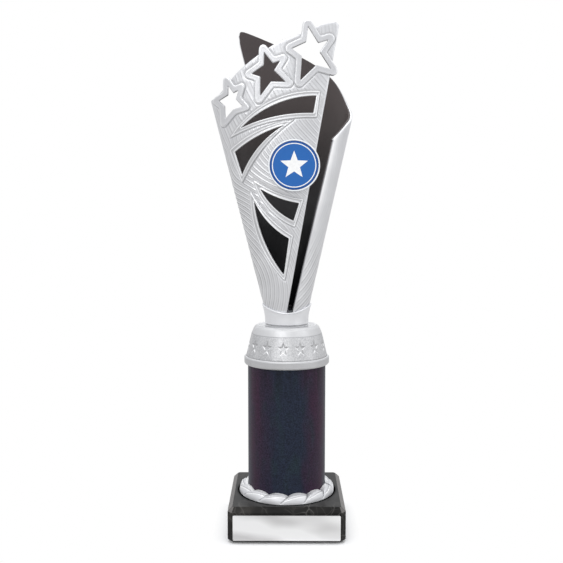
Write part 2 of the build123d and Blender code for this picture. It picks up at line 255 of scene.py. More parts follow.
def lathe(profile, segments):
    """Closed ring of a closed profile (radius, height) turned round the Z axis: points and faces."""
    turn = np.linspace(0, tau, segments, endpoint=False)
    points = around(profile[:, 0:1], turn, profile[:, 1:2]).reshape(-1, 3)
    return points, grid_faces(len(profile), segments, wrap_rows=True)


# ---- The cup's cone -----------------------------------------------------------------------------
CUP_LOW = 113.5
CUP_BEND = 126.5
BEND_BLEND = 1.6
BEND_DEPTH = 13.0
DEPTH_SPREAD = 0.0443         # half depth gained per millimetre of height above the bend
LOW_DEPTH_SPREAD = 0.229       # and below it
FRONT_CONE = (13.4, 0.2554)    # half width at the bend, and what it gains per millimetre of height
REAR_CONE = (13.1, 0.2254)
PETAL_WALL = 1.4
LINER_WALL = 0.9

# ARC is the distance round the section at each of TURNS, from the front, for a half width of 1 and a half
# depth of about 0.55.
TURNS = np.radians(np.linspace(-200, 400, 1201))
ARC = np.cumsum(np.sqrt(np.sin(TURNS) ** 2 + 0.3 * np.cos(TURNS) ** 2)) * (TURNS[1] - TURNS[0])
ARC -= np.interp(pi / 2, TURNS, ARC)


def half_sizes(z, cone):
    """Half width and half depth of the oval section at a height."""
    over = np.logaddexp(0, (CUP_BEND - z) / BEND_BLEND) * BEND_BLEND
    depth = BEND_DEPTH + DEPTH_SPREAD * (z - CUP_BEND) - (LOW_DEPTH_SPREAD - DEPTH_SPREAD) * over
    return cone[0] + cone[1] * (z - CUP_BEND), depth


def on_cone(turn, z, cone):
    """Points on the cone and the outward normals there."""
    a, b = half_sizes(z, cone)
    rise = (half_sizes(z + 0.1, cone)[1] - half_sizes(z - 0.1, cone)[1]) / 0.2
    x, y = a * np.cos(turn), -b * np.sin(turn)
    normal = np.stack([x / a**2, y / b**2, -(x**2) * cone[1] / a**3 - y**2 * rise / b**3], 1)
    return np.stack([x, y, z], 1), normal / np.linalg.norm(normal, axis=1)[:, None]


def unroll(turn, z, cone):
    """The cone laid out flat: distance round it, to the right, and height."""
    return np.stack([-half_sizes(z, cone)[0] * np.interp(turn, TURNS, ARC), z], 1)


def roll(flat, cone):
    z = flat[:, 1]
    return np.interp(-flat[:, 0] / half_sizes(z, cone)[0], ARC, TURNS), z


def from_front(points, cone):
    """Angle and height of points given as seen from the front, on the front half of the cone."""
    p = np.asarray(points, float)
    return np.arccos(np.clip(p[:, 0] / half_sizes(p[:, 1], cone)[0], -1, 1)), p[:, 1]


def flat_front(points, cone):
    return unroll(*from_front(points, cone), cone)


# ---- Outlines of the petals ---------------------------------------------------------------------
# Curved windows as seen from the front: the hole, then the outside of its raised border. Each corner is
# followed by a point on the arc to the next corner, or by None where the side is straight.
WINDOWS = [
    ([(-24, 220), (-6, 231.7), (15.3, 236.2), None, (13.8, 227.4), (-4, 226)],
     [(-30.5, 214.7), (-7, 234.3), (17.5, 238.6), None, (15.6, 225), (-4, 223.4)]),
    ([(-27.6, 207.4), (-15.5, 215.3), (-2, 220.7), (-15.5, 209.2), (-23.7, 195.3), None],
     [(-30.6, 208.6), (-16.5, 217.8), (4.2, 223.9), (-13.6, 207.4), (-23.9, 191), None]),
    ([(-13.8, 187.7), (-4.4, 183), (6.3, 180.3), None, (3.5, 171), (-6.2, 177.6)],
     [(-17.9, 192.9), (-3.6, 185.5), (9, 182.5), None, (4.3, 167.4), (-8.2, 175.7)]),
    ([(-17.3, 181.4), (-9.4, 169.6), (1, 161.5), None, (-1.6, 142.2), (-11.8, 159.6)],
     [(-19.4, 187.3), (-7.4, 171.3), (3.4, 163), None, (-1, 138.5), (-14.2, 158.2)]),
]

# Star cut-outs: tips and waists, clockwise from the top. Each has a raised frame round it.
STARS = [
    [(11, 271), (16.2, 263), (21.4, 264.7), (17, 258.4), (22.9, 250), (15.3, 251.9), (7, 244),
     (7.8, 256.3), (2.5, 260), (10, 263.4)],
    [(-11.7, 258), (-7.2, 252.6), (-3.7, 253.7), (-6.8, 249), (-0.8, 243.2), (-8.3, 243.4),
     (-13.8, 236.3), (-13.8, 246), (-18.2, 247.5), (-12, 251.6)],
    [(-30.9, 241.8), (-28.2, 238), (-25.5, 239.3), (-26.9, 234.8), (-23.4, 231), (-28.4, 229.7),
     (-32.7, 225.2), (-32.8, 231.9), (-36, 234.6), (-30.9, 237.2)],
]
# How much wider each frame is than its star: with pointed tips first, then with rounded ones.
STAR_FRAMES = [(0.35, 2.75), (0.8, 2.2), (1.05, 1.9)]

# Edges of the petals: angle in degrees and height, but the slot's two edges, FRONT_SLOT and
# REAR_WING_EDGE, are as seen from the front.
FRONT_RIM = [(60, 274), (70, 272), (80, 268), (95, 263.5), (120, 251.5),
             (145, 239.5), (165, 236), (185, 234.5), (205, 226), (221, 216.5)]
FRONT_SLOT = [(27.15, 272.4), (0.22, 122), (-0.75, CUP_LOW)]
FRONT_BACK_EDGE = [(221, 216.5), (254, 122.4), (262, CUP_LOW)]
REAR_RIM = [(-126, 272.5), (-122, 275), (-100, 269), (-70, 258), (-50, 248.5),
            (-25, 234.5), (0, 227), (20, 222.5), (42, 214)]
REAR_WING_EDGE = [(24.9, 214.2), (3.4, 122.3), (2.3, CUP_LOW)]
REAR_SLOT = [(-92, CUP_LOW), (-92.3, 122), (-105, 180), (-124, 257.7), (-126, 272.6)]
LINER_LEFT = [(-75, CUP_LOW), (-180, CUP_LOW), (-180, 225), (-158, 225.5), (-138, 231.5), (-124, 239),
              (-100, 239)]


def angle_loop(runs, cone, step=0.5):
    """A closed outline from runs of points (degrees, height), laid out flat."""
    points = np.concatenate(runs)
    return even(unroll(np.radians(points[:, 0]), points[:, 1], cone), step)


def seen_edge(corners, cone):
    """Angle and height along a line of straight sides given as seen from the front."""
    return from_front(np.concatenate([joined(zip(corners, corners[1:]), 1.0), [corners[-1]]]), cone)


def front_outline():
    turn, z = seen_edge(FRONT_SLOT[::-1], FRONT_CONE)
    rim = smooth_run(FRONT_RIM, 0.8)
    back = np.array(FRONT_BACK_EDGE, float)[1:]
    turn = np.concatenate([turn, np.radians(rim[:, 0]), np.radians(back[:, 0])])
    z = np.concatenate([z, rim[:, 1], back[:, 1]])
    return unroll(turn, z, FRONT_CONE)


# ---- Curved sheets ------------------------------------------------------------------------------
RIM_REACH = 1.6                # how far from its edge a sheet's relief and rounding still depend on it
EDGE_ROWS = (0.18, -0.18, 0.45, -0.45)    # rows of points beside each outline


def row_points(keep, holes, rows, loops):
    """Rows of points beside the outlines, except where they come near another one, and no two together."""
    extra = []
    for loop, offsets in [(k, EDGE_ROWS) for k in keep + holes] + rows:
        for distance in offsets:
            row = shifted(loop, distance)
            near = np.min([gap(row, other, 1.0) for other in loops], axis=0)
            extra.append(row[near > 0.75 * abs(distance)])
    extra = np.concatenate(extra)
    cells = np.round(extra / 0.22).astype(int)
    return extra[np.sort(np.unique(cells, axis=0, return_index=True)[1])]


def in_any(points, loops):
    return np.any([inside(points, loop) for loop in loops], axis=0)


def filling_points(keep, taken, low, high, spacing):
    """A staggered grid of points inside the outlines, clear of the points already there."""
    gx, gy = np.meshgrid(np.arange(low[0], high[0], spacing), np.arange(low[1], high[1], spacing * 0.866))
    gx = gx + spacing / 2 * (np.arange(len(gx)) % 2)[:, None]
    filling = np.stack([gx.ravel(), gy.ravel()], 1)
    tree = KDTree(len(taken))
    for k, p in enumerate(taken.tolist()):
        tree.insert((p[0], p[1], 0), k)
    tree.balance()
    filling = filling[in_any(filling, keep)]
    return filling[[tree.find((p[0], p[1], 0))[2] > 0.62 * spacing for p in filling.tolist()]]


def doubled_areas(corner):
    return np.cross(corner[:, 1] - corner[:, 0], corner[:, 2] - corner[:, 0])


def flat_triangles(keep, holes, rows, spacing):
    """Flat points and triangles that fill the outlines in keep but not the holes."""
    loops = keep + holes + [loop for loop, _ in rows]
    edges, count = [], 0
    for loop in loops:
        edges += [(count + k, count + (k + 1) % len(loop)) for k in range(len(loop))]
        count += len(loop)
    lines = np.concatenate(loops)
    taken = np.concatenate([lines, row_points(keep, holes, rows, loops)])
    filling = filling_points(keep, taken, lines.min(0), lines.max(0), spacing)
    every = [Vector(p) for p in np.concatenate([taken, filling]).tolist()]
    coords, _, triangles = delaunay_2d_cdt(every, edges, [], 0, 1e-5, False)[:3]
    flat = np.array([tuple(p) for p in coords])
    triangles = np.array(triangles)
    centre = flat[triangles].mean(1)
    good = in_any(centre, keep)
    if holes:
        good &= ~in_any(centre, holes)
    triangles = triangles[good & (abs(doubled_areas(flat[triangles])) > 1e-7)]
    used, triangles = np.unique(triangles, return_inverse=True)
    triangles = triangles.reshape(-1, 3)
    flat = flat[used]
    flip = doubled_areas(flat[triangles]) < 0
    triangles[flip] = triangles[flip][:, ::-1]
    return flat, triangles


def sheet(name, cone, inset, wall, outlines, spacing, height, flow, materials, cut_straight=False):
    """A curved solid sheet on the cone. outlines are loops laid out flat: those to keep, the holes, and
    rows of extra points that follow them. height gives the relief of the outer face and flow the lines of
    its texture. Its openings are cut square to the surface, or straight from the front."""
    flat, triangles = flat_triangles(*outlines, spacing)
    turn, z = roll(flat, cone)
    base, normal = on_cone(turn, z, cone)
    base = base - normal * inset
    rim = rim_edges(triangles)
    sink, to_rim = edge_sink(base, rim, 0.45 if wall > 1 else 0.3)
    relief, field, painted_light = height(turn, z, base)
    lines = flow(turn, z)
    field = field * ease(to_rim, 0.3, 1.5)
    wave = WAVE_HEIGHT * field * np.cos(tau * lines / WAVE_STEP)
    outer = base + normal * (relief + wave - sink)[:, None]
    inward = normal * (wall - sink)[:, None]
    if cut_straight:
        facing_share = ease(abs(normal[:, 1]), 0.3, 0.6)[:, None]
        straight = np.zeros_like(inward)
        straight[:, 1] = np.sign(normal[:, 1]) * (wall - sink) / np.maximum(abs(normal[:, 1]), 0.3)
        inward = inward * (1 - facing_share) + straight * facing_share
    inner = base - inward
    count = len(base)
    walls = np.stack([rim[:, 1], rim[:, 0], rim[:, 0] + count, rim[:, 1] + count], 1)
    faces = [tuple(t) for t in triangles] + [tuple(t) for t in triangles[:, ::-1] + count]
    faces += [tuple(w) for w in walls]
    slots = np.repeat([0, min(1, len(materials) - 1), 0], [len(triangles), len(triangles), len(walls)])
    piece = mesh(name, np.concatenate([outer, inner]), faces, materials, slots)
    attribute(piece, "flow", np.tile(lines, 2))
    attribute(piece, "field", np.concatenate([field, np.zeros(count)]))
    # Painted light: painted highlights and painted shade that the plating's material adds to its colour.
    attribute(piece, "painted_light", np.concatenate([painted_light, np.zeros(count)]))
    return piece


def rim_edges(triangles):
    """Edges that only one triangle has, in that triangle's direction."""
    edges = np.concatenate([triangles[:, [0, 1]], triangles[:, [1, 2]], triangles[:, [2, 0]]])
    key = np.sort(edges, axis=1)
    _, first, counts = np.unique(key, axis=0, return_index=True, return_counts=True)
    return edges[first[counts == 1]]


def edge_sink(points, rim, radius):
    """How far each point lies below the full thickness, so that the sheet's edge is rounded, and how far it
    is from the edge, up to RIM_REACH."""
    beside = {}
    for a, b in rim.tolist():
        beside.setdefault(a, []).append(b)
        beside.setdefault(b, []).append(a)
    tree = KDTree(len(beside))
    for k in beside:
        tree.insert(points[k], k)
    tree.balance()
    sink = np.zeros(len(points))
    away = np.full(len(points), RIM_REACH)
    for k, p in enumerate(points):
        _, nearest, distance = tree.find(p)
        if distance > RIM_REACH:
            continue
        a = points[nearest]
        for other in beside[nearest]:
            d = points[other] - a
            t = min(1.0, max(0.0, float((p - a) @ d / (d @ d + 1e-12))))
            distance = min(distance, float(np.linalg.norm(p - a - t * d)))
        away[k] = distance
        if distance < radius:
            sink[k] = radius - sqrt(radius**2 - (radius - distance) ** 2)
    return sink, away


# ---- Relief of the front petal ------------------------------------------------------------------
# Borders of the windows: height and painted light by distance in from the outside, and by distance from the
# hole.
# Painted light brightens or darkens the plating's colour: 1 is a painted highlight on an edge, -1 painted
# shade in a groove.
OUTER_RIDGE = ([0, 0.12, 0.35, 0.55, 0.80, 1.0], [0.0, 0.42, 0.70, 0.70, 0.50, 0.44],
               [-0.3, 0.5, 1.0, 0.8, -0.35, -0.6])
INNER_RIDGE = ([0, 0.12, 0.30, 0.60, 0.90, 1.1], [0.64, 0.76, 0.78, 0.74, 0.52, 0.44],
               [0.3, 0.8, 0.9, 0.5, -0.2, -0.45])
# Frames of the stars: share of the way from the hole to the outside, height there and painted light.
STAR_PROFILE = ([0, 0.06, 0.14, 0.3, 0.5, 0.68, 0.80, 0.88, 0.95, 1.0],
                [0.56, 0.66, 0.68, 0.66, 0.66, 0.68, 0.72, 0.68, 0.42, 0.0],
                [-0.25, -0.12, -0.1, -0.1, -0.1, -0.05, 0.4, 1.0, 0.6, -0.3])
LIT_FROM = (-0.5, 0.866)       # the side the light comes from: painted highlights on edges are brighter towards it, and painted shade gathers on the other side
TRENCH_DEPTH = 0.14            # of the groove outside each border
# Centres of the curved lines, on the petal laid out flat: above the highest window, round the badge, below
# it, and on the rear petal.
FIELD_CENTRE_TOP = (52.0, 272.0)
FIELD_CENTRE_HIGH = (45.0, 249.0)
FIELD_CENTRE_LOW = (-42.5, 131.0)
FIELD_CENTRE_WING = (-77.0, 212.0)
WAVE_STEP = 2.45               # from one line of the texture to the next
WAVE_HEIGHT = 0.045


def border_loops():
    """For each opening: its hole, the outside of its border, and a star frame's profile or None."""
    found = []
    for window in WINDOWS:
        hole, border = (joined(window_sides(points), 0.3) for points in window)
        found.append((rounded(hole, 0.9), rounded(border, 1.4), None))
    for star, growth in zip(STARS, STAR_FRAMES):
        hole = joined(polygon_sides(star), 0.3)
        found.append((rounded(hole, 0.8), rounded(grown(star, *growth), 1.8), STAR_PROFILE))
    return found


def border_relief(to_hole, to_border, profile):
    """Height and painted light inside a border."""
    def across(place, ridge):
        return np.interp(place, ridge[0], ridge[1]), np.interp(place, ridge[0], ridge[2])

    if profile:
        return across(to_hole / (to_hole + to_border + 1e-9), profile)
    outer, outer_painted_light = across(to_border, OUTER_RIDGE)
    inner, inner_painted_light = across(to_hole, INNER_RIDGE)
    # The middle of a wide border gets a painted highlight as well.
    floor = ease(np.minimum(to_hole, to_border), 1.0, 1.5) * 0.4
    painted_light = np.where(to_hole - 0.15 < to_border, inner_painted_light, outer_painted_light) + floor
    return np.where(to_border < 0.35, outer, np.maximum(outer, inner)), painted_light


def front_height(borders):
    """The relief of the front petal, for sheet(): height, strength of the texture and painted light."""
    def height(turn, z, base):
        seen = np.stack([base[:, 0], z], 1)
        ahead = np.sin(turn) > -0.02
        relief = np.zeros(len(z))
        field = np.ones(len(z))
        painted_light = np.zeros(len(z))
        for hole, border, profile in borders:
            to_border = gap(seen, border)
            side = (gap(seen + 0.3 * np.array(LIT_FROM), border) - to_border) / 0.3
            within = inside(seen, border) & ahead
            to_hole = gap(seen, hole)
            raised, border_painted_light = border_relief(to_hole, to_border, profile)
            higher = within & (raised > relief)
            relief = np.where(higher, raised, relief)
            # Painted highlights on the border, brighter on the side towards LIT_FROM.
            lit = 0.5 - 0.5 * side if profile else 0.72 - 0.28 * side
            painted_light = np.where(higher, np.where(border_painted_light > 0, border_painted_light * lit, border_painted_light), painted_light)
            trench = ahead & ~within & (to_border < 0.9)
            relief = np.where(trench, relief - TRENCH_DEPTH * (1 - ease(to_border, 0.1, 0.9)), relief)
            # Painted shade in the trench outside each border, darkest on the side away from LIT_FROM.
            painted_shade = -(1 - ease(to_border, 0.15, 0.62)) * (0.25 + 0.75 * ease(-side, -0.2, 0.6))
            painted_light = np.where(trench & (painted_light <= 0), np.minimum(painted_light, painted_shade), painted_light)
            field = np.where(within, 0, np.where(ahead, field * ease(to_border, 0.2, 1.2), field))
        flank = 0.85 * ease(-base[:, 0], 6, 20) * (1 - ease(z, 192, 208))
        return relief, field * (1 - 0.45 * ease(z, 226, 262) + flank), painted_light
    return height


def wobble(x, z):
    """Slow irregular shift of the texture's lines."""
    return 0.45 * np.sin(0.11 * z + 0.17 * x) + 0.3 * np.sin(0.23 * x - 0.07 * z + 1.3)


def stream(x, z):
    """Lines of the texture below the highest window."""
    high = np.hypot(x - FIELD_CENTRE_HIGH[0], z - FIELD_CENTRE_HIGH[1])
    low = 152.9 - np.hypot(x - FIELD_CENTRE_LOW[0], z - FIELD_CENTRE_LOW[1])
    share = ease(z, 178, 210)
    return high * share + low * (1 - share) + wobble(x, z)


def front_flow(turn, z):
    x = unroll(turn, z, FRONT_CONE)[:, 0]
    top = ease(z - 232 + 0.008 * (x - 16) ** 2, -4, 4)
    above = 0.65 * np.hypot(x - FIELD_CENTRE_TOP[0], z - FIELD_CENTRE_TOP[1]) + 19 + wobble(x, z)
    return above * top + stream(x, z) * (1 - top)


def rear_flow(turn, z):
    x = unroll(turn, z, REAR_CONE)[:, 0]
    return 0.8 * np.hypot(x - FIELD_CENTRE_WING[0], z - FIELD_CENTRE_WING[1]) + 0.6 * wobble(x, z)


def rear_height(turn, z, _):
    """The rear petal is smooth, with a painted highlight along the edge at the right of the slot and a
    plain upper wing.
    """
    right = ease(turn, radians(-35), radians(-12))
    field = 1 - 0.85 * right * ease(z, 146, 168)
    edge, height = seen_edge(REAR_WING_EDGE, REAR_CONE)
    beside = np.interp(z, height[::-1], edge[::-1]) - turn
    # Painted highlight beside the slot's edge, in the upper part of the wing.
    painted_light = 0.55 * (1 - ease(beside, 0.02, 0.16)) * ease(z, 165, 185) * (beside > 0)
    return 0 * z, field, painted_light


def plain_height(_turn, z, _base):
    return 0 * z, 0 * z, 0 * z


# ---- Materials ----------------------------------------------------------------------------------
# Places and distances are in metres here, noise scales are per metre, and a bare number is a grey.
def rgb(colour):
    return colour if isinstance(colour, tuple) else (colour, colour, colour)


class Nodes:
    """A small helper to write a material's nodes."""

    def __init__(self, name):
        self.material = bpy.data.materials.new(name)
        self.material.use_nodes = True
        self.tree = self.material.node_tree
        self.surface = self.tree.nodes["Principled BSDF"]

    def put(self, value, socket):
        """Links a node's output to a socket, or sets the socket's value."""
        if hasattr(value, "is_output"):
            self.tree.links.new(value, socket)
        elif socket.type == "RGBA":
            socket.default_value = (*rgb(value), 1)
        else:
            socket.default_value = value

    def add(self, kind, **inputs):
        """A node; inputs named with the socket's name, or set as properties where no socket has it."""
        node = self.tree.nodes.new("ShaderNode" + kind)
        for key, value in inputs.items():
            label = key.replace("_", " ")
            socket = node.inputs.get(label)
            if socket is None:
                setattr(node, key, value)
            else:
                self.put(value, socket)
        return node

    def math(self, operation, *values):
        node = self.add("Math", operation=operation)
        for value, socket in zip(values, node.inputs):
            self.put(value, socket)
        return node.outputs[0]

    def times(self, first, *others):
        for other in others:
            first = self.math("MULTIPLY", first, other)
        return first

    def length(self, a, b):
        return self.math("SQRT", self.math("ADD", self.math("POWER", a, 2.0), self.math("POWER", b, 2.0)))

    def share(self, value, low, high):
        """0 at low and 1 at high, straight between and level beyond."""
        return self.add("MapRange", Value=value, From_Min=low, From_Max=high).outputs[0]

    def ramp(self, factor, *stops):
        node = self.add("ValToRGB", Fac=factor)
        while len(node.color_ramp.elements) < len(stops):
            node.color_ramp.elements.new(0.5)
        for element, (at, colour) in zip(node.color_ramp.elements, stops):
            element.position = at
            element.color = (*rgb(colour), 1)
        return node.outputs[0]

    def fade(self, factor, low, high):
        return self.ramp(factor, (low, 0.0), (high, 1.0))

    def mix(self, factor, a, b, blend="MIX"):
        node = self.add("Mix", data_type="RGBA", blend_type=blend)
        for index, value in ((0, factor), (6, a), (7, b)):
            self.put(value, node.inputs[index])
        return node.outputs[2]

    def place(self, stretch=None):
        where = self.add("TexCoord").outputs["Object"]
        return where if stretch is None else self.add("Mapping", Vector=where, Scale=stretch).outputs[0]

    def axis(self, index):
        return self.add("SeparateXYZ", Vector=self.place()).outputs[index]

    def noise(self, scale, detail=3.0, stretch=None, roughness=0.5):
        node = self.add("TexNoise", Scale=scale, Detail=detail, Roughness=roughness)
        self.put(self.place(stretch), node.inputs["Vector"])
        return node.outputs[0]

    def cells(self, where, scale, feature="F1"):
        return self.add("TexVoronoi", Vector=where, Scale=scale, feature=feature).outputs

    def attribute(self, name):
        return self.add("Attribute", attribute_name=name).outputs["Fac"]

    def bump(self, height, strength, distance, below=None):
        node = self.add("Bump", Height=height, Strength=strength, Distance=distance)
        if below is not None:
            self.put(below, node.inputs["Normal"])
        return node.outputs[0]

    def finish(self, colour, rough, normal=None, **inputs):
        inputs = {"Base Color": colour, "Roughness": rough, **inputs}
        if normal is not None:
            inputs["Normal"] = normal
        for key, value in inputs.items():
            self.put(value, self.surface.inputs[key.replace("_", " ")])
        return self.material


def silver(name, bright=0.77, metal=0.7, rough=0.28, waves=False, brushed=False):
    """Vacuum-metallised plastic: bright, satin, with a faint unevenness. Attributes of the mesh give the
    lines of its texture (flow, field) and its painted highlights on edges and painted shade in grooves
    (painted_light)."""
    n = Nodes(name)
    dim, light = (tuple((bright + step) * tint for tint in (0.985, 0.99, 1.015)) for step in (-0.03, 0.03))
    colour = n.ramp(n.noise(90, 2), (0.3, dim), (0.7, light))
    normal = n.bump(n.noise(2600, 2), 0.12, 0.00008)
    if brushed:
        normal = n.bump(n.noise(1.0, 3, (90, 90, 2600)), 0.3, 0.00015, normal)
        grain = n.attribute("grain")
        patches = n.fade(n.noise(1.0, 3, (1900, 1900, 1300)), 0.38, 0.64)
        colour = n.mix(n.times(patches, grain, 0.30), colour, 1.0)
        # Vertical bands of painted reflection round the band, standing in for reflected studio lights.
        painted_reflection_bands = n.fade(n.noise(1.0, 1, (150, 150, 9)), 0.40, 0.56)
        colour = n.mix(n.times(painted_reflection_bands, grain, 0.15), colour, 1.0)
    if waves:
        field = n.attribute("field")
        phase = n.math("FRACT", n.math("DIVIDE", n.attribute("flow"), WAVE_STEP))
        step = n.ramp(phase, (0.0, 0.0), (0.72, 0.75), (0.84, 0.95), (0.9, 0.1), (1.0, 0.0))
        normal = n.bump(n.times(step, field), 0.6, 0.00018, normal)
        # Painted shade along each line of the texture and a painted highlight on the rise beside it.
        painted_line_shade = n.ramp(phase, (0.26, 0.0), (0.37, 0.55), (0.48, 0.0), (0.76, 0.0), (0.87, 1.0), (0.98, 0.0))
        uneven = n.ramp(n.noise(170, 2), (0.35, 0.55), (0.65, 1.0))
        colour = n.mix(n.times(painted_line_shade, field, uneven, 0.72), colour, 0.34)
        painted_line_highlight = n.ramp(phase, (0.50, 0.0), (0.66, 1.0), (0.76, 0.0))
        colour = n.mix(n.times(painted_line_highlight, field, 0.22), colour, 1.0)
    painted_light = n.attribute("painted_light")
    # Painted shade where painted_light is below zero, and a painted highlight where it is above.
    colour = n.mix(n.times(n.share(painted_light, 0.0, -1.0), 0.75), colour, 0.20)
    colour = n.mix(n.times(n.share(painted_light, 0.0, 1.0), 0.85), colour, 1.0)
    satin = n.math("MULTIPLY_ADD", n.noise(400, 3), 0.14, rough)
    return n.finish(colour, satin, normal, Metallic=metal)


def liner_black():
    """Black plastic of the cup's inside, warmer and paler towards the top, where light falls in."""
    n = Nodes("liner_black")
    colour = n.ramp(n.share(n.axis(2), 0.125, 0.265), (0.0, (0.005, 0.006, 0.008)),
                    (0.20, (0.012, 0.012, 0.014)), (0.30, (0.034, 0.034, 0.037)),
                    (0.40, (0.125, 0.122, 0.126)), (0.65, (0.115, 0.100, 0.098)),
                    (0.82, (0.115, 0.097, 0.095)), (1.0, (0.070, 0.057, 0.057)))
    colour = n.mix(n.times(n.noise(60, 3, (1, 1, 0.3)), 0.15), colour, (0.008, 0.008, 0.009))
    return n.finish(colour, 0.42, n.bump(n.noise(1800, 2), 0.08, 0.00008), Specular_IOR_Level=0.25)


def marble():
    """Polished black marble: cloudy dark grey with thin pale veins, made pale along its side chamfers as a
    painted reflection, and painted black and without gloss where the laurel ring stands on it, as a painted
    shadow."""
    n = Nodes("black_marble")
    warp = n.add("TexNoise", Vector=n.place(), Scale=38.0, Detail=4.0).outputs[1]
    where = n.add("VectorMath", operation="MULTIPLY_ADD")
    for value, socket in zip((warp, (0.016, 0.016, 0.016), n.place()), where.inputs):
        n.put(value, socket)
    wide, fine = (n.ramp(n.cells(where.outputs[0], scale, "DISTANCE_TO_EDGE")[0], (0.0, 1.0), (width, 0.0))
                  for scale, width in ((75.0, 0.0264), (150.0, 0.044)))
    patch = n.fade(n.noise(45, 3), 0.48, 0.68)
    veins = n.times(n.math("MAXIMUM", wide, n.times(fine, 0.5)), patch)
    cloud = n.ramp(n.noise(55, 6, None, 0.62), (0.32, 0.004), (0.60, (0.015, 0.0142, 0.013)),
                   (0.78, (0.048, 0.044, 0.040)))
    colour = n.mix(n.times(veins, 0.27), cloud, (0.30, 0.285, 0.27))
    normal = n.add("SeparateXYZ", Vector=n.add("NewGeometry").outputs["Normal"]).outputs
    # Painted reflection: the side chamfers, found by their normal, are made paler.
    on_side = n.math("GREATER_THAN", n.math("ABSOLUTE", normal[0]), 0.35)
    not_level = n.math("LESS_THAN", normal[2], 0.95)
    painted_chamfer_reflection = n.times(on_side, n.times(n.math("GREATER_THAN", normal[2], 0.35), not_level), 0.36)
    colour = n.mix(painted_chamfer_reflection, colour, (0.34, 0.32, 0.31))
    # Painted contact shadow round the foot of the laurel ring: where clear is low the marble is black and
    # has no gloss.
    clear = n.share(n.length(n.axis(0), n.axis(1)), 0.0273, 0.0287)
    rough = n.math("MULTIPLY_ADD", n.noise(300, 3), 0.12, 0.26)
    return n.finish(n.mix(clear, 0.0, colour), rough, n.bump(n.noise(900, 2), 0.04, 0.0001),
                    Specular_IOR_Level=n.times(n.math("MAXIMUM", clear, not_level), 0.13))


def column_film():
    """Dark film with a blue heart, purple bands, a fine grain, a seam at the back, and streaky painted
    shade under the cap.
    """
    n = Nodes("column_film")
    turn = n.math("ARCTAN2", n.axis(0), n.times(n.axis(1), -1.0))
    cloud = n.math("SUBTRACT", n.noise(110, 4, (1, 1, 0.35)), 0.5)
    band = n.math("MULTIPLY_ADD", cloud, 2.4, n.math("COSINE", n.times(turn, 3.6)))
    blue = n.share(band, -1.1, 0.35)
    colour = n.mix(blue, (0.031, 0.011, 0.028), (0.013, 0.018, 0.034))
    teal = n.ramp(n.noise(160, 3, (1, 1, 0.5)), (0.5, 0.0), (0.72, 0.6))
    colour = n.mix(n.times(teal, blue), colour, (0.014, 0.028, 0.032))
    # Streaky painted shade towards the top, under the cap's flange.
    streaky_painted_shade = n.fade(n.noise(1.0, 2, (420, 420, 14)), 0.42, 0.62)
    colour = n.mix(n.times(streaky_painted_shade, n.share(n.axis(2), 0.074, 0.091), 0.6), colour, (0.006, 0.006, 0.010))
    grain = n.noise(1500, 3)
    colour = n.mix(0.8, colour, n.ramp(grain, (0.34, 0.45), (0.66, 1.6)), "MULTIPLY")
    seam = n.math("SUBTRACT", 1.0, n.share(n.math("ABSOLUTE", n.axis(0)), 0.00015, 0.0004))
    seam = n.times(seam, n.math("GREATER_THAN", n.axis(1), 0.01))
    normal = n.bump(seam, 0.6, -0.0002, n.bump(grain, 0.25, 0.00006))
    return n.finish(colour, 0.42, normal, Specular_IOR_Level=0.16)


def plate_metal():
    """Satin silver plate with soft cloudy reflections painted into its colour, and a faint brushing."""
    n = Nodes("plate_silver")
    # Painted reflection: a slanted wave with soft noise sets how pale each place on the plate is.
    slant = n.math("MULTIPLY_ADD", n.axis(0), 95.0, n.times(n.axis(2), 330.0))
    sweep = n.math("MULTIPLY_ADD", n.math("SINE", slant), 0.22, n.noise(40, 1, (1.0, 1.0, 2.4)))
    colour = n.ramp(sweep, (0.28, (0.63, 0.625, 0.625)), (0.66, 0.95))
    return n.finish(colour, 0.3, n.bump(n.noise(2200, 2, (0.02, 1, 1)), 0.08, 0.00005), Metallic=0.55)


def gloss_white():
    n = Nodes("badge_white")
    colour = n.ramp(n.noise(120, 2), (0.3, (0.82, 0.85, 0.88)), (0.7, (0.88, 0.90, 0.92)))
    rough = n.math("MULTIPLY_ADD", n.noise(500, 2), 0.1, 0.22)
    return n.finish(colour, rough, n.bump(n.noise(1500, 2), 0.05, 0.00005))


def badge_blue():
    """Printed blue: a mid blue disc, darker towards its edge, under a clear coat."""
    n = Nodes("badge_blue")
    low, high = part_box("badge_disc")
    centre = (low + high) / 2
    radius = n.length(n.math("SUBTRACT", n.axis(0), centre.x), n.math("SUBTRACT", n.axis(2), centre.z))
    colour = n.ramp(n.share(radius, 0.0, (high.x - low.x) / 2), (0.0, (0.011, 0.125, 0.43)),
                    (0.90, (0.010, 0.115, 0.41)), (0.955, (0.004, 0.065, 0.28)),
                    (1.0, (0.003, 0.050, 0.24)))
    colour = n.mix(n.times(n.noise(5000, 1), 0.12), colour, (0.03, 0.18, 0.55))
    return n.finish(colour, 0.35, n.bump(n.noise(900, 1), 0.03, 0.00005), Specular_IOR_Level=0.3,
                    Coat_Weight=0.15, Coat_Roughness=0.1)


def badge_ink():
    n = Nodes("badge_ink")
    colour = n.ramp(n.noise(800, 2), (0.3, 0.86), (0.7, 0.93))
    return n.finish(colour, 0.4, n.bump(n.noise(3000, 1), 0.04, 0.00003))


def dull_plastic():
    n = Nodes("black_plastic")
    colour = n.ramp(n.noise(300, 3), (0.3, 0.016), (0.7, 0.025))
    return n.finish(colour, 0.6, n.bump(n.noise(1600, 3), 0.2, 0.0001))


def felt():
    n = Nodes("black_felt")
    fibre = n.noise(4200, 4, (1, 0.5, 1))
    colour = n.ramp(fibre, (0.35, 0.008), (0.7, 0.035))
    return n.finish(colour, 0.95, n.bump(fibre, 0.7, 0.0003), Sheen_Weight=0.3)


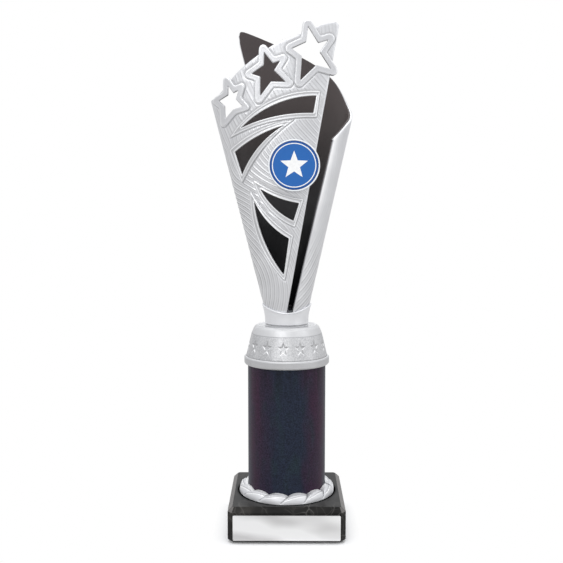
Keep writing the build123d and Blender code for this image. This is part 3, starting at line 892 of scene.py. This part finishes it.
def foam_tape():
    n = Nodes("foam_tape")
    cell = n.cells(n.place(), 2500.0)[0]
    return n.finish(n.ramp(cell, (0.0, 0.6), (0.6, 0.8)), 0.9, n.bump(cell, 0.4, 0.0001))


def zinc():
    n = Nodes("zinc_steel")
    patch = n.cells(n.place(), 700.0)[1]
    rough = n.math("MULTIPLY_ADD", n.noise(900, 3), 0.25, 0.2)
    colour = n.mix(0.12, (0.55, 0.56, 0.58), patch)
    return n.finish(colour, rough, n.bump(n.noise(2500, 2), 0.15, 0.00006), Metallic=1.0)


# ---- Pieces: the cup ----------------------------------------------------------------------------
BORDER_ROWS = (0.22, -0.22, 0.5, -0.5, 0.9, -0.9, 1.3, -1.3)
HOLE_ROWS = (0.8, -0.8, 1.2, -1.2, 1.6, -1.6)


def replacing(node):
    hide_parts(node)


def cup_pieces(wavy, black):
    """The two petals, and the black lining behind them with its floor."""
    borders = border_loops()
    outline = even(front_outline(), 0.5)
    holes = [flat_front(hole, FRONT_CONE) for hole, _, _ in borders]
    edges = [flat_front(border, FRONT_CONE) for _, border, _ in borders]
    frames = edges[len(WINDOWS):]
    rows = [(edge, BORDER_ROWS) for edge in edges] + [(hole, HOLE_ROWS) for hole in holes]
    front = sheet("cup_petal_front", FRONT_CONE, 0, PETAL_WALL, ([outline] + frames, holes, rows),
                  0.62, front_height(borders), front_flow, [wavy, black],
                  cut_straight=True)
    replacing("cup_front_petal")
    wing = np.stack(seen_edge(REAR_WING_EDGE, REAR_CONE), 1)
    wing[:, 0] = np.degrees(wing[:, 0])
    loop = angle_loop([smooth_run(REAR_SLOT, 1.0), smooth_run(REAR_RIM, 1.0), wing[1:]], REAR_CONE)
    rear = sheet("cup_petal_rear", REAR_CONE, 0, PETAL_WALL, ([loop], [], []), 0.8,
                 rear_height, rear_flow, [wavy])
    replacing("cup_rear_petal")
    left = angle_loop([np.array(LINER_LEFT, float)], REAR_CONE, 0.8)
    liner = sheet("cup_lining", REAR_CONE, PETAL_WALL + 0.05, LINER_WALL, ([loop, left], [], []),
                  1.6, plain_height, rear_flow, [black])
    replacing("cup_liner")
    top = CUP_LOW + 1.4
    floor = filleted([(3.3, CUP_LOW, 0), (8.4, CUP_LOW, 0.2), (8.8, top, 0.2), (3.3, top, 0)])
    points, faces = lathe(floor, 96)
    mesh("cup_lining_floor", points, faces, [black])


# ---- Pieces: cap, collar and ring ---------------------------------------------------------------
CAP_LOW = 91.7
CAP_FLANGE_TOP = 96.2
CAP_BAND = np.array([(22.5, CAP_FLANGE_TOP), (19.5, 108.8)])    # radius and height of its two edges
CAP_RECESS = 111.2
CAP_TOP = 113.3
CAP_HOLLOW_TOP = 109.2
ROD_HOLE = 3.3
CAP_STARS = 14
CAP_STAR_TURN = -5.2           # degrees, from the front to the nearest star
CAP_STAR_HEIGHT = 102.6
CAP_STAR_SIZE = (3.9, 0.74)    # radius and slimness
CAP_STAR_DEPTH = 0.4
CAP_STAR_ARC = 20.5            # radius that turns an angle into a distance along the band


def column_cap(material):
    """Plated cap: a bevelled flange, a leaning band with sunk stars and a rounded shoulder."""
    outer = filleted([(19.6, CAP_LOW, 0), (23.0, CAP_LOW, 0.2), (23.6, CAP_LOW + 0.7, 0.25),
                      (23.6, 95.5, 0.2), (22.95, CAP_FLANGE_TOP, 0.2), (22.35, CAP_FLANGE_TOP, 0.15)])
    count = 56
    t = np.linspace(0.03, 0.97, count)[:, None]
    band = (1 - t) * CAP_BAND[0] + t * CAP_BAND[1]
    shoulder = filleted([(*CAP_BAND[1], 0.15), (18.0, 112.2, 0.4), (16.5, CAP_TOP, 0.35),
                         (15.7, CAP_TOP, 0.2), (13.6, CAP_RECESS, 0.3), (ROD_HOLE, CAP_RECESS, 0),
                         (ROD_HOLE, CAP_HOLLOW_TOP, 0), (13.5, CAP_HOLLOW_TOP, 0), (16.6, 108, 0),
                         (19.6, CAP_FLANGE_TOP, 0)])
    profile = np.concatenate([outer, band, shoulder])
    segments = CAP_STARS * 52
    points, faces = lathe(profile, segments)
    points = points.reshape(len(profile), segments, 3)
    lean = CAP_BAND[1] - CAP_BAND[0]
    lean /= np.linalg.norm(lean)
    rows = np.arange(len(outer), len(outer) + count)
    turn = np.linspace(0, tau, segments, endpoint=False)
    spot = (turn - radians(CAP_STAR_TURN) + pi / CAP_STARS) % (tau / CAP_STARS) - pi / CAP_STARS
    up = (profile[rows, 1] - CAP_STAR_HEIGHT) / lean[1]
    u, w = np.meshgrid(spot * CAP_STAR_ARC, up)
    local = np.stack([u.ravel(), w.ravel()], 1)
    star = joined(polygon_sides(star_points(*CAP_STAR_SIZE)), 0.4)

    def depth_in_star(places):
        away = gap(places, star)
        return np.where(inside(places, star), away, -away)

    depth = depth_in_star(local)
    sunk = CAP_STAR_DEPTH * ease(depth, 0.0, 0.26).reshape(u.shape)
    # Painted light round the stars: painted shade on each star's upper wall and a painted highlight on its
    # lower wall.
    rise = depth_in_star(local + np.array([0.0, 0.25])) - depth
    edge = np.exp(-(((abs(depth) - 0.08) / 0.19) ** 2)) * np.clip(rise / 0.2, -1, 1)
    edge = np.where(edge < 0, edge * (0.25 + 0.75 * ease(local[:, 1], 0.8, 1.6)), edge)
    painted_light = np.zeros((len(profile), segments))
    painted_light[rows] = 0.8 * edge.reshape(u.shape)
    r, z = profile[:, 0], profile[:, 1]
    # Painted highlights on the top of the shoulder, on the recess floor and on the flange.
    top = 0.38 * ease(z, 108.8, 109.2) + 0.5 * (r < 16.3) * (z > 109.5)
    painted_light += (top + (0.4 * (abs(z - CAP_FLANGE_TOP) < 0.25) + 0.2) * (r > 22.55))[:, None]
    # grain sets where the brushed patches and the bands of painted reflection show, fully on the band.
    grain = np.full(painted_light.shape, 0.2)
    grain[rows] = 1.0
    normal = around(lean[1], turn, -lean[0])
    points[rows] -= sunk[..., None] * normal
    piece = mesh("column_cap_plated", points.reshape(-1, 3), faces[:, ::-1], [material], sharp=48)
    attribute(piece, "painted_light", painted_light.ravel())
    attribute(piece, "grain", grain.ravel())
    replacing("column_cap")


def star_points(radius, slimness=1.0, waist=0.42):
    reach = [radius if k % 2 == 0 else radius * waist for k in range(10)]
    return [(slimness * r * sin(pi * k / 5), r * cos(pi * k / 5)) for k, r in enumerate(reach)]


COLLAR_RADIUS = 12.0           # of its straight foot
COLLAR_STRAIGHT = 118.0        # height where the flare begins
COLLAR_SCOOP_LOW = 121.1       # rim height at front and back
COLLAR_SCOOP_RADIUS = 25.3
COLLAR_RIM_RADIUS = 13.3
COLLAR_WALL = 0.7
COLLAR_FLOOR = 113.4           # where the petals stand
# Foot of the collar, with its groove: radius, height and painted light (painted shade below zero, on the
# foot and in the groove, and a painted highlight above zero).
COLLAR_FOOT = [(3.3, CAP_RECESS, -0.6), (11.7, CAP_RECESS, -0.6), (11.95, CAP_RECESS + 0.1, -0.6),
               (12.0, 112.9, -0.7), (12.0, 113.1, -0.6), (12.1, 113.4, -0.2), (11.9, 113.55, -0.3),
               (11.5, 113.7, -0.9), (11.5, 114.0, -0.9), (11.85, 114.2, -0.3), (12.0, 114.4, 0.3),
               (12.0, 115.0, 0.0)]
# The rim's small bead, from outside to inside: distance outward and up.
COLLAR_BEAD = [(0.0, -0.75), (0.10, -0.55), (0.18, -0.3), (0.14, -0.04), (-0.1, 0.12), (-0.5, 0.12),
               (-0.85, 0.0), (-0.95, -0.6)]


def cup_collar(material):
    """Flared sleeve with a scooped rim that ends in a small bead, and a groove near its foot."""
    columns = 288
    turn = np.linspace(0, tau, columns, endpoint=False)

    def outer_radius(z):
        return COLLAR_RADIUS + 0.222 * np.logaddexp(0, z - COLLAR_STRAIGHT)

    reach = COLLAR_RIM_RADIUS * np.cos(turn)
    rim = COLLAR_SCOOP_LOW + COLLAR_SCOOP_RADIUS - np.sqrt(COLLAR_SCOOP_RADIUS**2 - reach**2)
    sections = [(r, z) for r, z, _ in COLLAR_FOOT]
    bottom = COLLAR_FOOT[-1][1]
    for share in np.linspace(0.1, 0.86, 10):
        z = bottom + (rim - bottom) * share
        sections.append((outer_radius(z), z))
    sections += [(outer_radius(rim) + outward, rim + up) for outward, up in COLLAR_BEAD]
    for share in (0.7, 0.4, 0.15):
        z = COLLAR_FLOOR + (rim - COLLAR_FLOOR) * share
        sections.append((outer_radius(z) - COLLAR_WALL, z))
    sections += [(r, COLLAR_FLOOR) for r in (11.0, ROD_HOLE)]
    points = [np.stack([r * np.cos(turn), -r * np.sin(turn), z + 0 * turn], 1) for r, z in sections]
    faces = grid_faces(len(sections), columns, wrap_rows=True)
    piece = mesh("cup_collar_plated", np.concatenate(points), faces, [material], sharp=50)
    painted_light = np.zeros((len(sections), columns))
    painted_light[:len(COLLAR_FOOT)] = np.array(COLLAR_FOOT)[:, 2:]
    attribute(piece, "painted_light", painted_light.ravel())
    replacing("cup_collar")


LEAVES = 13
LEAF_START = 2.3               # degrees, from the front to a crease between two leaves
LEAF_LEAN = 0.36               # how far a crease leans over the ring's width, in leaves
RING_INSIDE = 21.75            # radius
RING_WIDTH = 4.85


def laurel_ring(material):
    """Wreath of overlapping, slightly twisted leaves round the foot of the column."""
    base = box_mm("laurel_ring")[0].z
    columns = LEAVES * 60
    turn = np.linspace(0, tau, columns, endpoint=False)
    share = np.linspace(0, 1, 34)
    v, psi = np.meshgrid(share, turn, indexing="ij")
    leaf = (np.degrees(psi) - LEAF_START) / (360 / LEAVES) + LEAF_LEAN * (1 - v)
    t = leaf % 1.0
    arch = np.sin(pi * t**0.9) ** 0.7
    swell = 0.25 + 0.75 * arch
    long = ease(t, 0.05, 0.22)
    from_rib = v - 0.30 - 0.50 * t
    groove = np.exp(-((from_rib / 0.045) ** 2)) * long
    band = np.exp(-(((from_rib + 0.11) / 0.06) ** 2)) * long
    seam = np.exp(-((t / 0.035) ** 2)) + np.exp(-(((1 - t) / 0.02) ** 2))
    inward = ease(v, 0.0, 0.12) * ease(1 - v, 0.0, 0.06)
    relief = (0.18 * band - 0.28 * groove - 0.45 * seam) * inward
    # Painted light on the leaves: painted highlights along each crest and on the strip below the midrib
    # groove, and painted shade in the groove and in the creases between leaves.
    painted_crest_highlight = ease(v, 0.80, 0.9) * arch
    painted_light = np.clip(0.9 * painted_crest_highlight + 0.9 * band, 0, 1) * (1 - np.minimum(1, seam)) - 0.55 * groove - 0.6 * seam
    painted_light *= ease(v, 0.03, 0.12)
    angle = v * pi / 2
    across = RING_WIDTH - 0.25 * (1 - swell) * inward + relief * 0.6
    upward = 2.5 + 2.3 * swell + relief
    r = RING_INSIDE + across * np.cos(angle) ** 0.8
    z = base + upward * np.sin(angle) ** 0.8
    rows = [around(*row) for row in zip(r, psi, z)] + [around(RING_INSIDE, turn, base)]
    faces = grid_faces(len(rows), columns, wrap_rows=True)
    piece = mesh("laurel_wreath", np.concatenate(rows), faces, [material], sharp=60)
    attribute(piece, "painted_light", np.concatenate([painted_light.ravel(), np.zeros(columns)]))
    replacing("laurel_ring")


# ---- Pieces: badge ------------------------------------------------------------------------------
DISC_THICKNESS = 0.8
PRINT_THICKNESS = 0.1
PRINT_STAR_RADIUS = 7.6


def facing(points, centre):
    """Points of an upright turned shape laid over to face the front, round a centre."""
    p = np.asarray(points)
    return np.stack([centre[0] + p[:, 0], -p[:, 2], centre[1] + p[:, 1]], 1)


def badge_pieces(white, blue, ink):
    low, high = box_mm("badge_bezel")
    centre = ((low.x + high.x) / 2, (low.z + high.z) / 2)
    back, front = -high.y, -low.y
    seat = front - DISC_THICKNESS
    print_top = front + PRINT_THICKNESS
    bezel = filleted([(0.02, back, 0), (13.6, back, 0.3), (13.6, front, 0.7), (12.85, front, 0.25),
                      (12.72, seat, 0), (0.02, seat, 0)])
    disc = filleted([(0.02, seat, 0), (12.7, seat, 0), (12.7, front, 0.3), (0.02, front, 0)])
    ring = filleted([(11.1, front, 0), (11.6, front, 0), (11.6, print_top, 0.05), (11.1, print_top, 0.05)])
    for name, node, slot, profile, look in (
        ("badge_rim", "badge_bezel", "white_plastic", bezel, white),
        ("badge_face", "badge_disc", "badge_blue", disc, blue),
        ("badge_ring", "badge_print", "badge_ink", ring, ink),
    ):
        points, faces = lathe(profile, 160)
        piece = mesh(name, facing(points, centre), faces, [look], sharp=40)
        replacing(node)
    star = np.array(star_points(PRINT_STAR_RADIUS))
    layers = [np.column_stack([star, np.full(10, height)]) for height in (front, print_top)]
    faces = [tuple(range(10)), tuple(range(19, 9, -1))]
    faces += [(k, (k + 1) % 10, 10 + (k + 1) % 10, 10 + k)[::-1] for k in range(10)]
    piece = mesh("badge_star", facing(np.concatenate(layers), centre), faces, [ink])


def soften_edges(node, width):
    """Modifiers that slightly round a carried-over CAD node's sharp edges, and leave its mesh alone."""
    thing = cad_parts[node]
    thing.modifiers.new("weld", "WELD").merge_threshold = 1e-6
    bevel = thing.modifiers.new("bevel", "BEVEL")
    bevel.width = width * MM
    bevel.segments = 3
    bevel.limit_method = "ANGLE"
    bevel.angle_limit = radians(28)
    thing.modifiers.new("normals", "WEIGHTED_NORMAL").keep_sharp = True


# ---- Build --------------------------------------------------------------------------------------
cup_pieces(silver("plated_silver_waves", bright=0.71, waves=True), liner_black())
column_cap(silver("plated_silver_brushed", bright=0.42, metal=0.75, rough=0.36, brushed=True))
cup_collar(silver("plated_silver", bright=0.83))
laurel_ring(silver("plated_silver_soft", bright=0.65, metal=0.4, rough=0.34))
badge_pieces(gloss_white(), badge_blue(), badge_ink())
soften_edges("marble_base", 0.25)
soften_edges("engraving_plate", 0.18)

LOOKS = {
    "marble_base": marble(),
    "base_felt": felt(),
    "plate_tape": foam_tape(),
    "engraving_plate": plate_metal(),
    "column_tube": dull_plastic(),
    "column_foil": column_film(),
    "tie_rod": zinc(),
}
LOOKS["lower_plug"] = LOOKS["upper_plug"] = LOOKS["column_tube"]
LOOKS["badge_pad"] = LOOKS["plate_tape"]
LOOKS["hex_nuts"] = LOOKS["base_washer"] = LOOKS["lock_washer"] = LOOKS["cup_washer"] = LOOKS["tie_rod"]
for node, material in LOOKS.items():
    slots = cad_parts[node].data.materials
    slots.clear()
    slots.append(material)

# ---- Studio -------------------------------------------------------------------------------------
PICTURE_SIDE = 563             # pixels
FOCAL_PIXELS = 834
SENSOR = 36                    # millimetres
CAMERA_PLACE = (-0.0006, -0.460, 0.179)
CAMERA_TILT = 5.2              # degrees below level
CAMERA_TURN = 0.005            # radians
FLOOR_REACH = 6.0
WHITE = (1, 1, 1)


def camera():
    piece = bpy.data.objects.new("camera", bpy.data.cameras.new("camera"))
    piece.location = CAMERA_PLACE
    piece.rotation_euler = Euler((radians(90 - CAMERA_TILT), 0, CAMERA_TURN))
    piece.data.lens = SENSOR * FOCAL_PIXELS / PICTURE_SIDE
    piece.data.sensor_width = SENSOR
    piece.data.clip_start = 0.01
    bpy.context.scene.collection.objects.link(piece)
    bpy.context.scene.camera = piece


def pale_floor():
    """A floor that is plain near the base, where it takes its shadow, and glows white beyond."""
    n = Nodes("pale_floor")
    tone = n.ramp(n.noise(6, 2), (0.3, 0.93), (0.7, 0.95))
    away = n.math("MAXIMUM", n.math("ABSOLUTE", n.axis(0)), n.math("ABSOLUTE", n.axis(1)))
    border_painted_light = n.share(away, 0.0316, 0.041)
    seen = n.add("LightPath").outputs["Is Camera Ray"]
    light = n.times(border_painted_light, n.math("MULTIPLY_ADD", seen, 0.28, 0.72))
    look = n.finish(n.mix(border_painted_light, tone, 0.0), 0.9, Specular_IOR_Level=0.0, Emission_Strength=light,
                    Emission_Color=WHITE)
    data = bpy.data.meshes.new("floor")
    r = FLOOR_REACH
    data.from_pydata([(-r, -r, 0), (r, -r, 0), (r, r, 0), (-r, r, 0)], [], [(0, 1, 2, 3)])
    data.materials.append(look)
    piece = bpy.data.objects.new("floor", data)
    bpy.context.scene.collection.objects.link(piece)


def surroundings():
    """White to the camera; to everything else a soft sky, brighter overhead."""
    world = bpy.data.worlds.new("studio")
    bpy.context.scene.world = world
    world.use_nodes = True
    tree = world.node_tree

    def add(kind, *sources, outlet=0, **defaults):
        node = tree.nodes.new("ShaderNode" + kind)
        for source, socket in zip(sources, node.inputs):
            tree.links.new(source, socket)
        for key, value in defaults.items():
            node.inputs[key.replace("_", " ")].default_value = value
        return node.outputs[outlet]

    height = add("SeparateXYZ", add("TexCoord", outlet="Generated"), outlet=2)
    strength = add("MapRange", height, From_Min=-0.3, From_Max=0.8, To_Min=0.70, To_Max=1.15)
    sky = tree.nodes["Background"]
    sky.inputs[0].default_value = (0.97, 0.98, 1.0, 1)
    tree.links.new(strength, sky.inputs[1])
    white = add("Background", Color=(*WHITE, 1), Strength=1.0)
    seen = add("LightPath", outlet="Is Camera Ray")
    tree.links.new(add("MixShader", seen, sky.outputs[0], white), tree.nodes["World Output"].inputs[0])


def lamp(name, place, target, size, power):
    light = bpy.data.lights.new(name, "AREA")
    light.shape = "RECTANGLE"
    light.size, light.size_y = size
    light.energy = power
    piece = bpy.data.objects.new(name, light)
    piece.location = place
    piece.rotation_euler = (Vector(target) - Vector(place)).to_track_quat("-Z", "Y").to_euler()
    bpy.context.scene.collection.objects.link(piece)


camera()
pale_floor()
surroundings()
lamp("key", (-0.30, -0.90, 0.65), (0, 0, 0.16), (0.6, 0.7), 2.2)
lamp("fill", (0.85, -0.45, 0.35), (0, 0, 0.15), (0.6, 0.9), 1.2)
lamp("top", (0.0, 0.1, 1.1), (0, 0, 0.1), (0.9, 0.9), 2.5)
bpy.context.scene.view_settings.view_transform = "Standard"
